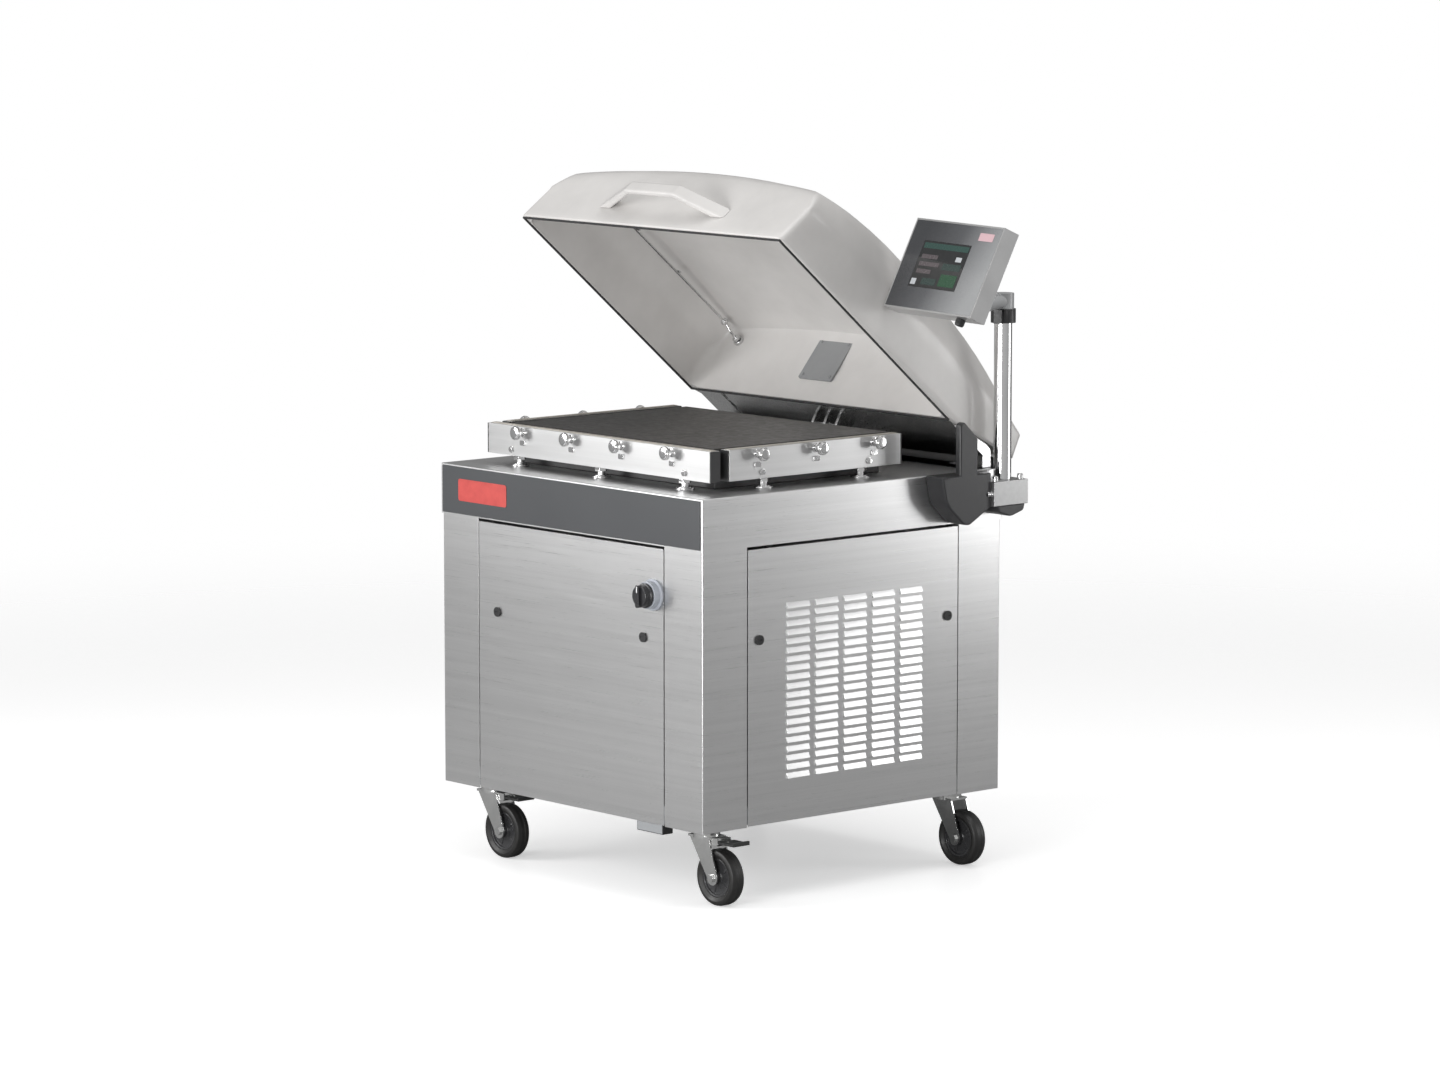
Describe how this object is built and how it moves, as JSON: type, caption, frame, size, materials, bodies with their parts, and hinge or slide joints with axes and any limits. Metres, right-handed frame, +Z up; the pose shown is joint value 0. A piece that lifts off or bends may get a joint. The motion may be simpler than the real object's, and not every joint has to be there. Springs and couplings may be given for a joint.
{
  "type": "vacuum packing machine",
  "caption": "Floor-standing chamber vacuum packing machine on casters with a domed hinged lid, lifting sealing bars and a touch panel on a swing arm.",
  "frame": {"origin": "on the floor, under the middle of the whole machine's box", "axes": "+X to the right of a person facing the machine, +Y to the back where the lid is hinged, +Z up"},
  "size_m": [1.2676, 1.0076, 1.5514],
  "materials": {
    "frame_steel": "satin powder coat",
    "brushed_sheet": "brushed stainless sheet",
    "fascia_grey": "satin dark grey",
    "black_plastic": "matt black moulding",
    "black_cover": "fine textured black",
    "filler_plate": "matt dark board",
    "machined_steel": "machined, bright",
    "polished_steel": "polished stainless",
    "cast_grey": "grey enamel on cast metal",
    "switch_grey": "moulded grey",
    "pump_paint": "hammered blue-grey enamel",
    "rubber_black": "black rubber",
    "zinc_steel": "bright zinc plating",
    "lid_paint": "warm light grey powder coat",
    "arm_grey": "grey enamel",
    "panel_silver": "satin anodised",
    "panel_front": "dark glossy foil",
    "screen_glass": "dark display glass",
    "bar_steel": "brushed channel",
    "strip_tan": "tan woven non-stick tape",
    "tyre_black": "black rubber tyre on a dark hub",
    "pedal_dark": "black coated steel"
  },
  "bodies": {
    "cabinet": {"base_frame": "frame_steel", "corner_posts": "brushed_sheet", "front_panel": "brushed_sheet", "right_panel": "brushed_sheet", "left_panel": "brushed_sheet", "rear_panel": "brushed_sheet", "table_top": "brushed_sheet", "front_fascia": "fascia_grey", "platform_base": "black_plastic", "filler_plate": "filler_plate", "lift_cylinders": "machined_steel", "hinge_bearings": "cast_grey", "hinge_cover": "black_cover", "column_block": "polished_steel", "column_foot": "black_plastic", "column_tube": "polished_steel", "main_switch_base": "switch_grey", "cable_gland": "black_plastic", "vacuum_pump": "pump_paint", "exhaust_filter": "cast_grey", "suction_hose": "rubber_black", "control_box": "cast_grey", "caster_plates": "zinc_steel"},
    "switch_knob": {"main_switch_knob": "black_plastic"},
    "lock_front_left": {"front_lock_left": "black_plastic"},
    "lock_front_right": {"front_lock_right": "black_plastic"},
    "lock_side_front": {"side_lock_front": "black_plastic"},
    "lock_side_rear": {"side_lock_rear": "black_plastic"},
    "front_bar": {"seal_bar_front": "bar_steel", "heater_strip_front": "strip_tan", "bar_fittings_front": "polished_steel"},
    "left_bar": {"seal_bar_left": "bar_steel", "heater_strip_left": "strip_tan", "bar_fittings_left": "polished_steel"},
    "right_bar": {"seal_bar_right": "bar_steel", "heater_strip_right": "strip_tan", "bar_fittings_right": "polished_steel"},
    "lid": {"lid_shell": "lid_paint", "lid_gasket": "rubber_black", "lid_handle": "lid_paint", "lid_vent_plate": "cast_grey", "lid_pipe": "machined_steel", "hinge_arms": "machined_steel", "hinge_shaft": "polished_steel", "lid_lock_bracket": "machined_steel"},
    "arm": {"arm_clamp": "black_plastic", "swing_arm": "arm_grey"},
    "panel": {"panel_housing": "panel_silver", "panel_front": "panel_front", "touch_screen": "screen_glass"},
    "fork_front_left_body": {"fork_front_left": "zinc_steel"},
    "wheel_front_left_body": {"wheel_front_left": "tyre_black"},
    "fork_front_right_body": {"fork_front_right": "zinc_steel"},
    "wheel_front_right_body": {"wheel_front_right": "tyre_black"},
    "fork_rear_left_body": {"fork_rear_left": "zinc_steel"},
    "wheel_rear_left_body": {"wheel_rear_left": "tyre_black"},
    "fork_rear_right_body": {"fork_rear_right": "zinc_steel"},
    "wheel_rear_right_body": {"wheel_rear_right": "tyre_black"},
    "pedal_left": {"brake_pedal_left": "pedal_dark"},
    "pedal_right": {"brake_pedal_right": "pedal_dark"}
  },
  "joints": [
    {"name": "lid_hinge", "type": "hinge", "parent": "cabinet", "child": "lid", "pos_m": [-0.17877, 0.40666, 0.882], "axis": [1, 0, 0], "range_deg": [0, 40.2]},
    {"name": "front_bar_lift", "type": "slide", "parent": "cabinet", "child": "front_bar", "axis": [0, 0, 1], "range_m": [0, 0.012]},
    {"name": "left_bar_lift", "type": "slide", "parent": "cabinet", "child": "left_bar", "axis": [0, 0, 1], "range_m": [0, 0.012]},
    {"name": "right_bar_lift", "type": "slide", "parent": "cabinet", "child": "right_bar", "axis": [0, 0, 1], "range_m": [0, 0.012]},
    {"name": "arm_swing", "type": "hinge", "parent": "cabinet", "child": "arm", "pos_m": [0.30823, 0.39866, 1.28], "axis": [0, 0, 1], "range_deg": [0, 95]},
    {"name": "panel_tilt", "type": "hinge", "parent": "arm", "child": "panel", "pos_m": [0.45605, 0.11711, 1.28], "axis": [0.9848, -0.1736, 0], "range_deg": [-20, 15]},
    {"name": "switch_turn", "type": "hinge", "parent": "cabinet", "child": "switch_knob", "pos_m": [0.10823, -0.45483, 0.677], "axis": [0, 1, 0], "range_deg": [0, 90]},
    {"name": "front_lock_left_turn", "type": "hinge", "parent": "cabinet", "child": "lock_front_left", "pos_m": [-0.43177, -0.45483, 0.58], "axis": [0, 1, 0], "range_deg": [0, 90]},
    {"name": "front_lock_right_turn", "type": "hinge", "parent": "cabinet", "child": "lock_front_right", "pos_m": [0.07423, -0.45483, 0.58], "axis": [0, 1, 0], "range_deg": [0, 90]},
    {"name": "side_lock_front_turn", "type": "hinge", "parent": "cabinet", "child": "lock_side_front", "pos_m": [0.27123, -0.29334, 0.58], "axis": [-1, 0, 0], "range_deg": [0, 90]},
    {"name": "side_lock_rear_turn", "type": "hinge", "parent": "cabinet", "child": "lock_side_rear", "pos_m": [0.27123, 0.26666, 0.58], "axis": [-1, 0, 0], "range_deg": [0, 90]},
    {"name": "swivel_front_left", "type": "hinge", "parent": "cabinet", "child": "fork_front_left_body", "pos_m": [-0.54877, -0.37483, 0.176], "axis": [0, 0, 1], "continuous": true},
    {"name": "roll_front_left", "type": "hinge", "parent": "fork_front_left_body", "child": "wheel_front_left_body", "pos_m": [-0.50277, -0.37483, 0.0625], "axis": [0, 1, 0], "continuous": true},
    {"name": "swivel_front_right", "type": "hinge", "parent": "cabinet", "child": "fork_front_right_body", "pos_m": [0.19123, -0.37483, 0.176], "axis": [0, 0, 1], "continuous": true},
    {"name": "roll_front_right", "type": "hinge", "parent": "fork_front_right_body", "child": "wheel_front_right_body", "pos_m": [0.23723, -0.37483, 0.0625], "axis": [0, 1, 0], "continuous": true},
    {"name": "swivel_rear_left", "type": "hinge", "parent": "cabinet", "child": "fork_rear_left_body", "pos_m": [-0.54877, 0.34817, 0.176], "axis": [0, 0, 1], "continuous": true},
    {"name": "roll_rear_left", "type": "hinge", "parent": "fork_rear_left_body", "child": "wheel_rear_left_body", "pos_m": [-0.50277, 0.34817, 0.0625], "axis": [0, 1, 0], "continuous": true},
    {"name": "swivel_rear_right", "type": "hinge", "parent": "cabinet", "child": "fork_rear_right_body", "pos_m": [0.19123, 0.34817, 0.176], "axis": [0, 0, 1], "continuous": true},
    {"name": "roll_rear_right", "type": "hinge", "parent": "fork_rear_right_body", "child": "wheel_rear_right_body", "pos_m": [0.23723, 0.34817, 0.0625], "axis": [0, 1, 0], "continuous": true},
    {"name": "brake_left", "type": "hinge", "parent": "fork_front_left_body", "child": "pedal_left", "pos_m": [-0.49477, -0.37483, 0.139], "axis": [0, 1, 0], "range_deg": [0, 10]},
    {"name": "brake_right", "type": "hinge", "parent": "fork_front_right_body", "child": "pedal_right", "pos_m": [0.24523, -0.37483, 0.139], "axis": [0, 1, 0], "range_deg": [0, 10]}
  ],
  "couplings": [
    {"joint": "left_bar_lift", "follows": "front_bar_lift", "ratio": 1},
    {"joint": "right_bar_lift", "follows": "front_bar_lift", "ratio": 1}
  ]
}
